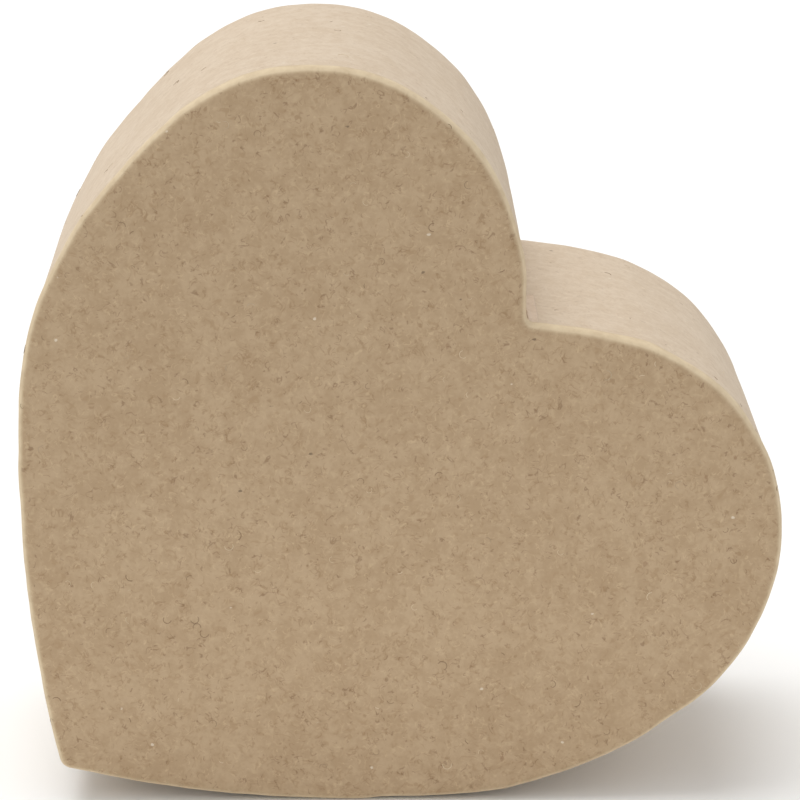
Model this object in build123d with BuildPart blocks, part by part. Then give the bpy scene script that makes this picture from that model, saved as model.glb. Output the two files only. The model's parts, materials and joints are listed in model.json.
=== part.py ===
"""Wind up music box: a heart-shaped kraft paper case round an eighteen note movement.

Millimetres, +Z up. The case stands on its curved side with its axis tilted, front face towards -Y.
"""
import os
from math import atan2, cos, degrees, pi, radians, sin, sqrt

from build123d import *

# ---- case ----
TILT = 45  # the heart's axis, from upright towards +X
DEPTH = 48.0  # front face to back face
RIGHT_HALF_ANGLE = 59.3  # right side against the axis at the point
# radius and turn of the side, hip, shoulder and lobe
RIGHT_ARCS = ((165.0, 19.4), (59.7, 35.0), (33.0, 44.1), (29.0, 78.2))
LEFT_HALF_ANGLE = 57.8
LEFT_ARCS = ((190.0, 16.5), (45.0, 26.3), (74.7, 19.5), (27.4, 94.5))
CLEFT_UP = 91.35  # point to cleft, along the axis
TIP_FILLET = 1.8
CLEFT_FILLET = 1.0
EDGE_ROUND = 1.2  # soft edge of the covered case
PAPER = 0.4  # side paper and facings
BOARD = 1.8  # front and back panels
WALL = 1.6  # side strip
TURNOVER = 3.0  # front and back sheets turned over on to the side

# ---- movement, measured from the winding arbor on the back panel's inner face ----
ARBOR_ACROSS = -15.0  # from the heart's axis
ARBOR_UP = 61.0  # from the heart's point, along its axis
PLATE = 1.6
PLATE_LEFT, PLATE_RIGHT = -14.5, 45.0
PLATE_LOW, PLATE_HIGH = -25.0, 18.6
RUN = 0.05  # radial clearance of every bearing
CASE_SCREWS = ((-10.6, 13.6), (-10.6, -13.6), (29.0, 10.5))
CASE_SCREW_RADIUS = 1.3
KEY_HOLE_RADIUS = 5.0

ARBOR_RADIUS = 2.0
SPRING_CASE_RADIUS = 13.0
SPRING_CASE_TOP = 7.2
STEEL = 0.6
SPRING_TURNS = 9
GREAT_WHEEL_TOP = 9.2
DRUM_RADIUS = 3.0
DRUM_TOP = 12.4

COARSE, FINE = 0.5, 0.4  # gear modules
GREAT_TEETH, CYLINDER_LEAVES = 42, 24
GEAR_TEETH, LEAVES, FIRST_TEETH, WORM_WHEEL_TEETH = 40, 8, 32, 20
TOOTH = 0.4  # tooth width at the pitch line, as a share of the pitch
AXIS_HEIGHT = 15.8  # cylinder axis above the panel
CYLINDER_RADIUS = 6.5
CYLINDER_START, CYLINDER_END = 13.2, 33.2
PIN_TIP_RADIUS = 7.0
PIN_RADIUS = 0.2
PINS_PER_NOTE = 6
NOTES = 18
NOTE_PITCH = 1.05
FIRST_NOTE = 14.2

BRIDGE_X, BRIDGE_THICK = 6.6, 1.6
INNER_CHEEK, OUTER_CHEEK, CHEEK = 36.0, 42.0, 1.2
SHAFT = 0.5
FIRST_Y = 9.0  # first governor shaft
FIRST_Z = AXIS_HEIGHT - sqrt(((GEAR_TEETH + LEAVES) * FINE / 2) ** 2 - FIRST_Y**2)
SECOND_Y = 1.9  # worm wheel shaft
SECOND_Z = FIRST_Z - sqrt(((FIRST_TEETH + LEAVES) * FINE / 2) ** 2 - (FIRST_Y - SECOND_Y) ** 2)
WORM_LEAD = pi * FINE
WORM_RADIUS = 1.2  # at the pitch line
WORM_CORE = 0.8
FLY_X = 40.8
FLY_Y = SECOND_Y - WORM_WHEEL_TEETH * FINE / 2 - WORM_RADIUS
FLY_REACH = 3.2
FLY_LOW, FLY_HIGH = 14.4, 19.6
FRAME_TOP = 20.6

KEY_WING = 1.4
KEY_SPAN, KEY_LOBE, KEY_EYE = 7.0, 5.4, 2.6
KEY_REACH = 17.4  # back panel's inner face to the key's outer edge

os.makedirs("parts", exist_ok=True)

# ---- heart outline, hand-cut and not quite even, its point at the sketch's origin ----
def half_outline(half_angle, arcs, inwards):
    """One side from the point to the cleft, every arc running on from the last, drawn in by an amount."""
    cleft = Vector(0, CLEFT_UP)
    with BuildLine() as half:
        slope = radians(half_angle)
        heading = Vector(sin(slope), cos(slope))
        start = heading.rotate(Axis.Z, 90) * inwards
        edge = JernArc(start, heading, arcs[0][0] - inwards, arcs[0][1], mode=Mode.PRIVATE)
        middle = edge @ 0.5
        tip = Vector(0, inwards / sin(radians(RIGHT_HALF_ANGLE + LEFT_HALF_ANGLE) / 2))
        ThreePointArc(tip, middle, edge @ 1)
        for radius, turn in arcs[1:]:
            edge = JernArc(edge @ 1, edge % 1, radius - inwards, turn)
        normal = (edge % 1).rotate(Axis.Z, 90)
        gap = cleft - (edge @ 1) + normal * inwards
        centre = cleft - gap + normal * (gap.dot(gap) / (2 * gap.dot(normal)))
        TangentArc(edge @ 1, cleft + (centre - cleft).normalized() * inwards, tangent=edge % 1)
    return half.line


def heart(inwards=0.0):
    """The heart's outline drawn in by an amount, with its point and its cleft rounded."""
    with BuildSketch() as drawn:
        with BuildLine():
            right = half_outline(RIGHT_HALF_ANGLE, RIGHT_ARCS, inwards)
            left = half_outline(LEFT_HALF_ANGLE, LEFT_ARCS, inwards).mirror(Plane.YZ)
            add(right)
            add(left)
            if inwards:
                ends = [half.vertices().sort_by_distance((0, CLEFT_UP))[0] for half in (right, left)]
                ThreePointArc(ends[0], (0, CLEFT_UP - inwards), ends[1])
        make_face()
        on_axis = drawn.vertices().filter_by_position(Axis.X, -0.01, 0.01)
        if not inwards:
            fillet(on_axis.sort_by(Axis.Y)[-1], CLEFT_FILLET)
            on_axis = drawn.vertices().filter_by_position(Axis.X, -0.01, 0.01)
        if TIP_FILLET > inwards:
            fillet(on_axis.sort_by(Axis.Y)[0], TIP_FILLET - inwards)
    return drawn.sketch


OUTLINE = heart()
BOARD_FACE = heart(PAPER)
WALL_FACE = heart(PAPER + WALL)

# ---- planes ----
ACROSS = Vector(cos(radians(TILT)), 0, -sin(radians(TILT)))
ALONG = Vector(sin(radians(TILT)), 0, cos(radians(TILT)))
FRONT = Vector(0, -1, 0)
tilted = OUTLINE.rotate(Axis.Z, -TILT).bounding_box()
BACK_Y = (DEPTH - (KEY_REACH - PAPER - BOARD)) / 2
POINT = Vector(-(tilted.min.X + tilted.max.X) / 2, BACK_Y, -tilted.min.Y)
CASE = Plane(origin=POINT, x_dir=ACROSS, z_dir=FRONT)
ARBOR = POINT + ACROSS * ARBOR_ACROSS + ALONG * ARBOR_UP + FRONT * (PAPER + BOARD)


def spot(x, y, z):
    """A point of the movement: along the cylinder, up the heart, towards the front."""
    return ARBOR + ACROSS * x + ALONG * y + FRONT * z


def level(z, x=0.0, y=0.0):
    """Plane parallel to the bedplate, facing the front."""
    return Plane(origin=spot(x, y, z), x_dir=ACROSS, z_dir=FRONT)


def section(x, y=0.0, z=0.0):
    """Plane square to the cylinder, sketched up the heart and towards the front."""
    return Plane(origin=spot(x, y, z), x_dir=ALONG, z_dir=ACROSS)


def side(y, x=0.0, z=0.0):
    """Plane along the cylinder, sketched across the heart and towards the back."""
    return Plane(origin=spot(x, y, z), x_dir=ACROSS, z_dir=ALONG)


# ---- sketches used by more than one piece ----
def gear(teeth, module, start, bore):
    """Wheel outline with one tooth centred on the start angle."""
    pitch = teeth * module / 2
    root, tip = pitch - module, pitch + 0.75 * module
    half = TOOTH * pi * module / 2
    with BuildSketch() as wheel:
        Circle(root + 0.02)
        with PolarLocations(0, teeth, start_angle=start):
            Polygon(
                (root - 0.1, -half * root / pitch),
                (pitch, -half),
                (tip, -half * 0.55),
                (tip, half * 0.55),
                (pitch, half),
                (root - 0.1, half * root / pitch),
                align=None,
            )
        if bore:
            Circle(bore, mode=Mode.SUBTRACT)
    return wheel.sketch


def box(low_x, high_x, low_y, high_y):
    """Rectangle by its limits."""
    with BuildSketch() as face:
        Polygon((low_x, low_y), (high_x, low_y), (high_x, high_y), (low_x, high_y), align=None)
    return face.sketch


# ---- case: panels, strip and paper ----
with BuildPart() as board_block:
    with BuildSketch(CASE.offset(PAPER)):
        add(BOARD_FACE)
    extrude(amount=DEPTH - 2 * PAPER)
    rims = board_block.edges().filter_by(lambda e: e.bounding_box().size.Y < 0.01)
    fillet(rims, EDGE_ROUND - PAPER)

with BuildPart() as back_board:
    with BuildSketch(CASE.offset(PAPER)):
        add(BOARD_FACE)
    extrude(amount=BOARD)
    add(board_block.part, mode=Mode.INTERSECT)
    with BuildSketch(level(0)):
        Circle(KEY_HOLE_RADIUS)
        with Locations(*CASE_SCREWS):
            Circle(CASE_SCREW_RADIUS + RUN)
    extrude(amount=-BOARD, mode=Mode.SUBTRACT)
back_board.part.label = "back_board"
export_step(back_board.part, "parts/back_board.step")

with BuildPart() as front_board:
    with BuildSketch(CASE.offset(DEPTH - PAPER - BOARD)):
        add(BOARD_FACE)
    extrude(amount=BOARD)
    add(board_block.part, mode=Mode.INTERSECT)
front_board.part.label = "front_board"
export_step(front_board.part, "parts/front_board.step")

with BuildPart() as side_wall:
    with BuildSketch(CASE.offset(PAPER + BOARD)):
        add(BOARD_FACE)
    extrude(amount=DEPTH - 2 * (PAPER + BOARD))
    with BuildSketch(CASE.offset(PAPER + BOARD)):
        add(WALL_FACE)
    extrude(amount=DEPTH - 2 * (PAPER + BOARD), mode=Mode.SUBTRACT)
side_wall.part.label = "side_wall"
export_step(side_wall.part, "parts/side_wall.step")

with BuildPart() as skin:
    with BuildSketch(CASE):
        add(OUTLINE)
    extrude(amount=DEPTH)
    rims = skin.edges().filter_by(lambda e: e.bounding_box().size.Y < 0.01)
    fillet(rims, EDGE_ROUND)
    add(board_block.part, mode=Mode.SUBTRACT)

with BuildPart() as side_cover:
    with BuildSketch(CASE.offset(TURNOVER)):
        add(OUTLINE)
    extrude(amount=DEPTH - 2 * TURNOVER)
    with BuildSketch(CASE.offset(TURNOVER)):
        add(BOARD_FACE)
    extrude(amount=DEPTH - 2 * TURNOVER, mode=Mode.SUBTRACT)
side_cover.part.label = "side_cover"
export_step(side_cover.part, "parts/side_cover.step")

with BuildPart() as front_facing:
    with BuildSketch(CASE.offset(DEPTH)):
        add(OUTLINE)
    extrude(amount=-TURNOVER)
    add(skin.part, mode=Mode.INTERSECT)
front_facing.part.label = "front_facing"
export_step(front_facing.part, "parts/front_facing.step")

with BuildPart() as back_facing:
    with BuildSketch(CASE):
        add(OUTLINE)
    extrude(amount=TURNOVER)
    add(skin.part, mode=Mode.INTERSECT)
    with BuildSketch(level(-BOARD)):
        Circle(KEY_HOLE_RADIUS)
        with Locations(*CASE_SCREWS):
            Circle(CASE_SCREW_RADIUS + RUN)
    extrude(amount=-PAPER, mode=Mode.SUBTRACT)
back_facing.part.label = "back_facing"
export_step(back_facing.part, "parts/back_facing.step")

OUTSIDE = -PAPER - BOARD  # the back of the case, on the movement's own scale

with BuildPart() as key_eyelet:
    with BuildSketch(level(OUTSIDE - 0.5)):
        Circle(KEY_HOLE_RADIUS + 1.8)
        Circle(KEY_HOLE_RADIUS - 0.6, mode=Mode.SUBTRACT)
    extrude(amount=0.5)
    with BuildSketch(level(OUTSIDE)):
        Circle(KEY_HOLE_RADIUS)
        Circle(KEY_HOLE_RADIUS - 0.6, mode=Mode.SUBTRACT)
    extrude(amount=PAPER + BOARD)
    outer_rim = key_eyelet.edges().filter_by(GeomType.CIRCLE).sort_by(Axis.Y).group_by(Axis.Y)[-1]
    fillet(outer_rim.sort_by(SortBy.RADIUS)[-1], 0.3)
key_eyelet.part.label = "key_eyelet"
export_step(key_eyelet.part, "parts/key_eyelet.step")

with BuildPart() as mounting_screws:
    with BuildSketch(level(OUTSIDE - 0.5)):
        with Locations(*CASE_SCREWS):
            Circle(CASE_SCREW_RADIUS)
    extrude(amount=-OUTSIDE + 0.5 + 3.6)
    with BuildSketch(level(OUTSIDE - 0.5)):
        with Locations(*CASE_SCREWS):
            Circle(2.5)
    extrude(amount=-1.5)
    crowns = mounting_screws.edges().filter_by(GeomType.CIRCLE).group_by(Axis.Y)[-1]
    fillet(crowns, 0.7)
    with BuildSketch(level(OUTSIDE - 2.0)):
        with Locations(*CASE_SCREWS):
            Rectangle(3.4, 0.6)
            Rectangle(0.6, 3.4)
    extrude(amount=0.8, mode=Mode.SUBTRACT)
mounting_screws.part.label = "mounting_screws"
export_step(mounting_screws.part, "parts/mounting_screws.step")

with BuildPart() as screw_washers:
    with BuildSketch(level(OUTSIDE - 0.5)):
        with Locations(*CASE_SCREWS):
            Circle(3.2)
            Circle(CASE_SCREW_RADIUS + RUN, mode=Mode.SUBTRACT)
    extrude(amount=0.5)
screw_washers.part.label = "screw_washers"
export_step(screw_washers.part, "parts/screw_washers.step")

# ---- movement, fixed ----
BRIDGE_SCREWS = ((BRIDGE_X + 3.4, 16.0), (BRIDGE_X + 3.4, -16.0))
COMB_SCREWS = ((17.5, -20.8), (28.5, -20.8))
FRAME_SCREWS = ((39.6, -6.2), (39.6, 12.0))
RIVETS = ((-9.0, 0.0), (4.5, 7.8), (4.5, -7.8))
SEAT_TOP = 15.4
COMB_LEFT, COMB_RIGHT = 13.4, 32.9
SEAT_FRONT, SEAT_BACK = -17.6, -24.0

with BuildPart() as bedplate:
    with BuildSketch(level(0)):
        add(box(PLATE_LEFT, PLATE_RIGHT, PLATE_LOW, PLATE_HIGH))
    extrude(amount=PLATE)
    corners = bedplate.edges().filter_by(Axis.Y)
    fillet(corners, 3.0)
    with BuildSketch(level(PLATE)):
        with Locations(*CASE_SCREWS):
            Circle(2.3)
    extrude(amount=2.6)
    with BuildSketch(level(PLATE)):
        add(box(COMB_LEFT, COMB_RIGHT, SEAT_BACK, SEAT_FRONT))
    extrude(amount=SEAT_TOP - PLATE)
    with BuildSketch(level(PLATE)):
        add(box(COMB_LEFT + 7.1, COMB_RIGHT - 7.4, SEAT_BACK, SEAT_BACK + 3.4))
    extrude(amount=SEAT_TOP - PLATE - 2.0, mode=Mode.SUBTRACT)
    with BuildSketch(level(0)):
        Circle(ARBOR_RADIUS + RUN)
        with Locations(*CASE_SCREWS):
            Circle(CASE_SCREW_RADIUS)
        with Locations(*BRIDGE_SCREWS):
            Circle(1.0)
        with Locations(*FRAME_SCREWS):
            Circle(0.8)
        with Locations(*RIVETS):
            Circle(0.8)
    extrude(amount=4.4, mode=Mode.SUBTRACT)
    with BuildSketch(level(SEAT_TOP)):
        with Locations(*COMB_SCREWS):
            Circle(1.2)
    extrude(amount=-5.0, mode=Mode.SUBTRACT)
bedplate.part.label = "bedplate"
export_step(bedplate.part, "parts/bedplate.step")

with BuildPart() as spring_case:
    with BuildSketch(level(PLATE)):
        Circle(SPRING_CASE_RADIUS)
    extrude(amount=SPRING_CASE_TOP - PLATE)
    with BuildSketch(level(PLATE + STEEL)):
        Circle(SPRING_CASE_RADIUS - STEEL)
    extrude(amount=SPRING_CASE_TOP - PLATE, mode=Mode.SUBTRACT)
    with BuildSketch(level(PLATE)):
        Circle(ARBOR_RADIUS + 0.4)
        with Locations(*RIVETS):
            Circle(0.8)
    extrude(amount=STEEL, mode=Mode.SUBTRACT)
spring_case.part.label = "spring_case"
export_step(spring_case.part, "parts/spring_case.step")

with BuildPart() as spring_case_lid:
    with BuildSketch(level(SPRING_CASE_TOP)):
        Circle(SPRING_CASE_RADIUS)
        Circle(ARBOR_RADIUS + RUN, mode=Mode.SUBTRACT)
    extrude(amount=STEEL)
spring_case_lid.part.label = "spring_case_lid"
export_step(spring_case_lid.part, "parts/spring_case_lid.step")

with BuildPart() as case_rivets:
    with BuildSketch(level(0)):
        with Locations(*RIVETS):
            Circle(0.8)
    extrude(amount=PLATE + STEEL)
case_rivets.part.label = "case_rivets"
export_step(case_rivets.part, "parts/case_rivets.step")

SPIRAL_IN, SPIRAL_OUT, BAND = 3.4, 12.2, 0.3


def coil(offset_by):
    """Points of the mainspring's spiral, sixteen to a turn."""
    steps = SPRING_TURNS * 16
    growth = (SPIRAL_OUT - SPIRAL_IN - BAND) / steps
    return [
        (
            (SPIRAL_IN + offset_by + growth * k) * cos(2 * pi * k / 16),
            (SPIRAL_IN + offset_by + growth * k) * sin(2 * pi * k / 16),
        )
        for k in range(steps + 1)
    ]


with BuildPart() as mainspring:
    with BuildSketch(level(PLATE + STEEL + 0.4)):
        with BuildLine():
            inner = Spline(*coil(0.0))
            outer = Spline(*coil(BAND))
            Line(inner @ 0, outer @ 0)
            Line(inner @ 1, outer @ 1)
        make_face()
    extrude(amount=SPRING_CASE_TOP - PLATE - STEEL - 0.8)
mainspring.part.label = "mainspring"
export_step(mainspring.part, "parts/mainspring.step")

LEG_IN, LEG_OUT, FOOT_OUT = 11.8, 13.4, 18.4
BRIDGE_LOW, BRIDGE_HIGH = 13.6, 18.4

with BuildPart() as bridge:
    with BuildSketch(section(BRIDGE_X)):
        add(box(-LEG_OUT, LEG_OUT, PLATE, BRIDGE_HIGH))
        add(box(-LEG_IN, LEG_IN, PLATE, BRIDGE_LOW), mode=Mode.SUBTRACT)
    extrude(amount=BRIDGE_THICK)
    with BuildSketch(level(PLATE)):
        add(box(BRIDGE_X, BRIDGE_X + 6.0, LEG_IN, FOOT_OUT))
        add(box(BRIDGE_X, BRIDGE_X + 6.0, -FOOT_OUT, -LEG_IN))
    extrude(amount=1.2)
    with BuildSketch(level(PLATE)):
        with Locations(*BRIDGE_SCREWS):
            Circle(1.0)
    extrude(amount=1.2, mode=Mode.SUBTRACT)
    with BuildSketch(section(BRIDGE_X, 0, AXIS_HEIGHT)):
        Circle(0.8 + RUN)
    extrude(amount=BRIDGE_THICK, mode=Mode.SUBTRACT)
    lengthwise = bridge.edges().filter_by(lambda e: abs(e.tangent_at(0).dot(ACROSS)) > 0.99)
    shoulders = lengthwise.filter_by(lambda e: e.length > 1.5)
    fillet(shoulders.sort_by(Axis.Y)[:2], 2.0)
bridge.part.label = "bridge"
export_step(bridge.part, "parts/bridge.step")


COMB_PLATE = 0.8
FRAME_BASE = 1.2
FLOOR = PLATE + FRAME_BASE

# name, spots, seat, shank, head, head height, shank length
SLOTTED = (
    ("bridge_screws", BRIDGE_SCREWS, PLATE + 1.2, 1.0, 1.7, 1.2, 2.6),
    ("comb_screws", COMB_SCREWS, SEAT_TOP + COMB_PLATE, 1.2, 2.1, 1.4, 4.8),
    ("governor_screws", FRAME_SCREWS, FLOOR, 0.8, 1.2, 0.9, 2.6),
)
for name, spots, seat, shank, head, head_height, length in SLOTTED:
    with BuildPart() as screws:
        with BuildSketch(level(seat)):
            with Locations(*spots):
                Circle(shank)
        extrude(amount=-length)
        with BuildSketch(level(seat)):
            with Locations(*spots):
                Circle(head)
        extrude(amount=head_height)
        with BuildSketch(level(seat + head_height)):
            with Locations(*spots):
                Rectangle(2 * head, 0.4)
        extrude(amount=-0.4 * head_height, mode=Mode.SUBTRACT)
    screws.part.label = name
    export_step(screws.part, f"parts/{name}.step")

TEETH_LEVEL = AXIS_HEIGHT - 0.15
COMB_TIP = -(PIN_TIP_RADIUS + 0.1)

with BuildPart() as comb:
    with BuildSketch(level(SEAT_TOP)):
        Polygon(
            (COMB_LEFT, SEAT_BACK),
            (COMB_RIGHT, SEAT_BACK),
            (COMB_RIGHT, -12.0),
            (COMB_LEFT, -16.8),
            align=None,
        )
        with Locations(*COMB_SCREWS):
            Circle(1.2, mode=Mode.SUBTRACT)
    extrude(amount=COMB_PLATE)
    with BuildSketch(level(TEETH_LEVEL)):
        for note in range(NOTES):
            middle = FIRST_NOTE + note * NOTE_PITCH
            add(box(middle - 0.4, middle + 0.4, -17.2 + note * 0.26, COMB_TIP))
    extrude(amount=0.3)
comb.part.label = "comb"
export_step(comb.part, "parts/comb.step")

with BuildPart() as bass_weights:
    with BuildSketch(level(TEETH_LEVEL)):
        for note in range(8):
            middle = FIRST_NOTE + note * NOTE_PITCH
            add(box(middle - 0.35, middle + 0.35, COMB_TIP - 3.4 + 0.2 * note, COMB_TIP - 0.5))
    extrude(amount=-1.0)
bass_weights.part.label = "bass_weights"
export_step(bass_weights.part, "parts/bass_weights.step")

with BuildPart() as governor_frame:
    with BuildSketch(level(PLATE)):
        add(box(INNER_CHEEK, OUTER_CHEEK + CHEEK, -7.6, 14.0))
    extrude(amount=FRAME_BASE)
    with BuildSketch(section(INNER_CHEEK)):
        Polygon(
            (-5.6, PLATE),
            (14.0, PLATE),
            (12.5, 13.5),
            (10.5, 15.5),
            (3.0, 18.5),
            (2.0, FRAME_TOP),
            (-5.6, FRAME_TOP),
            align=None,
        )
    extrude(amount=CHEEK)
    with BuildSketch(section(OUTER_CHEEK)):
        Polygon(
            (0.3, PLATE),
            (14.0, PLATE),
            (12.5, 13.5),
            (10.5, 15.0),
            (7.5, 15.0),
            (0.3, 11.5),
            align=None,
        )
    extrude(amount=CHEEK)
    with BuildSketch(level(FLOOR, FLY_X, FLY_Y)):
        Circle(1.3)
    extrude(amount=1.2)
    with BuildSketch(level(FLOOR + 0.4, FLY_X, FLY_Y)):
        Circle(0.35 + RUN)
    extrude(amount=0.8, mode=Mode.SUBTRACT)
    with BuildSketch(section(INNER_CHEEK, 0, AXIS_HEIGHT)):
        Circle(0.8 + RUN)
    extrude(amount=CHEEK, mode=Mode.SUBTRACT)
    for y, z in ((FIRST_Y, FIRST_Z), (SECOND_Y, SECOND_Z)):
        with BuildSketch(section(INNER_CHEEK, y, z)):
            Circle(SHAFT + RUN)
        extrude(amount=OUTER_CHEEK - INNER_CHEEK + CHEEK, mode=Mode.SUBTRACT)
    with BuildSketch(level(PLATE)):
        with Locations(*FRAME_SCREWS):
            Circle(0.8)
    extrude(amount=FRAME_BASE, mode=Mode.SUBTRACT)
governor_frame.part.label = "governor_frame"
export_step(governor_frame.part, "parts/governor_frame.step")

with BuildPart() as fly_bridge:
    with BuildSketch(level(FRAME_TOP)):
        add(box(INNER_CHEEK, FLY_X + 1.6, -5.6, -1.0))
        with Locations((FLY_X, FLY_Y)):
            Circle(0.35 + RUN, mode=Mode.SUBTRACT)
    extrude(amount=1.0)
fly_bridge.part.label = "fly_bridge"
export_step(fly_bridge.part, "parts/fly_bridge.step")

# ---- winding: arbor, drum, key ----
HUB_OUT, HUB_IN = -8.6, -3.4

with BuildPart() as winding_arbor:
    for low, high, radius in (
        (HUB_OUT + 2.2, HUB_IN, 1.6),
        (HUB_IN, PLATE + STEEL + 0.2, ARBOR_RADIUS),
        (PLATE + STEEL + 0.2, SPRING_CASE_TOP - 0.2, DRUM_RADIUS),
        (SPRING_CASE_TOP - 0.2, GREAT_WHEEL_TOP + 0.1, ARBOR_RADIUS),
        (GREAT_WHEEL_TOP + 0.1, DRUM_TOP, 1.8),
        (DRUM_TOP, DRUM_TOP + 0.8, 1.5),
    ):
        with BuildSketch(level(low)):
            Circle(radius)
        extrude(amount=high - low)
winding_arbor.part.label = "winding_arbor"
export_step(winding_arbor.part, "parts/winding_arbor.step")

with BuildPart() as clutch_drum:
    with BuildSketch(level(GREAT_WHEEL_TOP + 0.1)):
        Circle(DRUM_RADIUS)
        Circle(1.8, mode=Mode.SUBTRACT)
    extrude(amount=DRUM_TOP - GREAT_WHEEL_TOP - 0.1)
clutch_drum.part.label = "clutch_drum"
export_step(clutch_drum.part, "parts/clutch_drum.step")

with BuildPart() as arbor_clip:
    with BuildSketch(level(DRUM_TOP)):
        Circle(3.8)
        Circle(1.5, mode=Mode.SUBTRACT)
        with Locations((2.6, 0)):
            Rectangle(3.4, 1.4, mode=Mode.SUBTRACT)
    extrude(amount=0.5)
arbor_clip.part.label = "arbor_clip"
export_step(arbor_clip.part, "parts/arbor_clip.step")

with BuildPart() as key_hub:
    with BuildSketch(level(HUB_OUT)):
        Circle(3.4)
    extrude(amount=HUB_IN - HUB_OUT)
    chamfer(key_hub.edges().filter_by(GeomType.CIRCLE), 0.5)
    with BuildSketch(level(HUB_IN)):
        Circle(1.6)
    extrude(amount=HUB_OUT + 2.2 - HUB_IN, mode=Mode.SUBTRACT)
    with BuildSketch(level(HUB_OUT)):
        Rectangle(8.0, KEY_WING)
    extrude(amount=2.2, mode=Mode.SUBTRACT)
key_hub.part.label = "key_hub"
export_step(key_hub.part, "parts/key_hub.step")

with BuildPart() as key_wing:
    with BuildSketch(side(-KEY_WING / 2)) as wing_outline:
        add(box(-3.3, 3.3, -HUB_OUT - 2.2, -HUB_OUT + 3.4))
        for way in (-1, 1):
            with Locations((way * KEY_SPAN, KEY_REACH - KEY_LOBE)):
                Circle(KEY_LOBE)
        fillet(wing_outline.vertices(), 0.5)
        for way in (-1, 1):
            with Locations((way * (KEY_SPAN + 0.2), KEY_REACH - KEY_LOBE + 0.1)):
                Circle(KEY_EYE, mode=Mode.SUBTRACT)
    extrude(amount=KEY_WING)
    flats = key_wing.faces().filter_by(lambda f: abs(f.normal_at().dot(ALONG)) > 0.99)
    chamfer(flats.edges(), 0.25)
key_wing.part.label = "key_wing"
export_step(key_wing.part, "parts/key_wing.step")

# ---- great wheel ----
CROWN_PITCH = AXIS_HEIGHT - CYLINDER_LEAVES * COARSE / 2  # height of the crown's pitch plane
CROWN_TIP = CROWN_PITCH + 0.35
CROWN_IN, CROWN_OUT, GREAT_RADIUS = 9.6, 11.6, 11.8
CROWN_HALF = TOOTH * pi * COARSE / 2 * 0.75


def crown_planes():
    """One radial plane per crown tooth, half a pitch off the cylinder's axis."""
    planes = []
    for tooth in range(GREAT_TEETH):
        angle = 2 * pi * (tooth + 0.5) / GREAT_TEETH
        radial = ACROSS * cos(angle) + ALONG * sin(angle)
        foot = spot(CROWN_IN * cos(angle), CROWN_IN * sin(angle), 0)
        planes.append(Plane(origin=foot, x_dir=FRONT, z_dir=radial))
    return planes


with BuildPart() as great_wheel:
    with BuildSketch(level(GREAT_WHEEL_TOP - 1.0)):
        Circle(GREAT_RADIUS)
    extrude(amount=1.0)
    with BuildSketch(*crown_planes()):
        Polygon(
            (GREAT_WHEEL_TOP - 0.2, -CROWN_HALF * 1.3),
            (CROWN_PITCH, -CROWN_HALF),
            (CROWN_TIP, -CROWN_HALF * 0.6),
            (CROWN_TIP, CROWN_HALF * 0.6),
            (CROWN_PITCH, CROWN_HALF),
            (GREAT_WHEEL_TOP - 0.2, CROWN_HALF * 1.3),
            align=None,
        )
    extrude(amount=CROWN_OUT - CROWN_IN)
    with BuildSketch(level(GREAT_WHEEL_TOP - 1.0)):
        Circle(ARBOR_RADIUS + RUN)
        with PolarLocations(6.4, 5, start_angle=18):
            Circle(1.5)
    extrude(amount=1.0, mode=Mode.SUBTRACT)
great_wheel.part.label = "great_wheel"
export_step(great_wheel.part, "parts/great_wheel.step")

COIL_WIRE = 0.3
with BuildPart() as coil_wire:
    with BuildLine() as coil_path:
        Helix(0.68, 2.4, DRUM_RADIUS + COIL_WIRE + 0.1)
    with BuildSketch(Plane(origin=coil_path.line @ 0, z_dir=coil_path.line % 0)):
        Circle(COIL_WIRE)
    sweep(path=coil_path.line, is_frenet=True)

with BuildPart() as clutch_spring:
    add(level(GREAT_WHEEL_TOP + COIL_WIRE + 0.02).location * coil_wire.part)
clutch_spring.part.label = "clutch_spring"
export_step(clutch_spring.part, "parts/clutch_spring.step")

# ---- cylinder ----
GEAR_START, GEAR_END = 33.8, 35.2
LEAVES_START, LEAVES_END = 33.6, 35.4
PINION_START, PINION_END = 9.8, 11.2
GOLDEN = (sqrt(5) - 1) / 2


def pin_planes():
    """Where the tune's pins stand: an even, never repeating spread round each track."""
    planes = []
    for note in range(NOTES):
        for pin in range(PINS_PER_NOTE):
            turn = (note * GOLDEN + pin / PINS_PER_NOTE + 0.06 * sin(5 * note + 3 * pin)) % 1
            out = ALONG * cos(2 * pi * turn) + FRONT * sin(2 * pi * turn)
            foot = spot(FIRST_NOTE + note * NOTE_PITCH, 0, AXIS_HEIGHT) + out * (CYLINDER_RADIUS - 0.3)
            planes.append(Plane(origin=foot, x_dir=ACROSS, z_dir=out))
    return planes


with BuildPart() as cylinder:
    with BuildSketch(section(CYLINDER_START, 0, AXIS_HEIGHT)):
        Circle(CYLINDER_RADIUS)
    extrude(amount=CYLINDER_END - CYLINDER_START)
    with BuildSketch(section(CYLINDER_START + 0.8, 0, AXIS_HEIGHT)):
        Circle(CYLINDER_RADIUS - 0.8)
    extrude(amount=CYLINDER_END - CYLINDER_START - 1.6, mode=Mode.SUBTRACT)
    with BuildSketch(section(CYLINDER_START, 0, AXIS_HEIGHT)):
        Circle(0.8)
    extrude(amount=CYLINDER_END - CYLINDER_START, mode=Mode.SUBTRACT)
    with BuildSketch(*pin_planes()):
        Circle(PIN_RADIUS)
    extrude(amount=PIN_TIP_RADIUS - CYLINDER_RADIUS + 0.3)
cylinder.part.label = "cylinder"
export_step(cylinder.part, "parts/cylinder.step")

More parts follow.
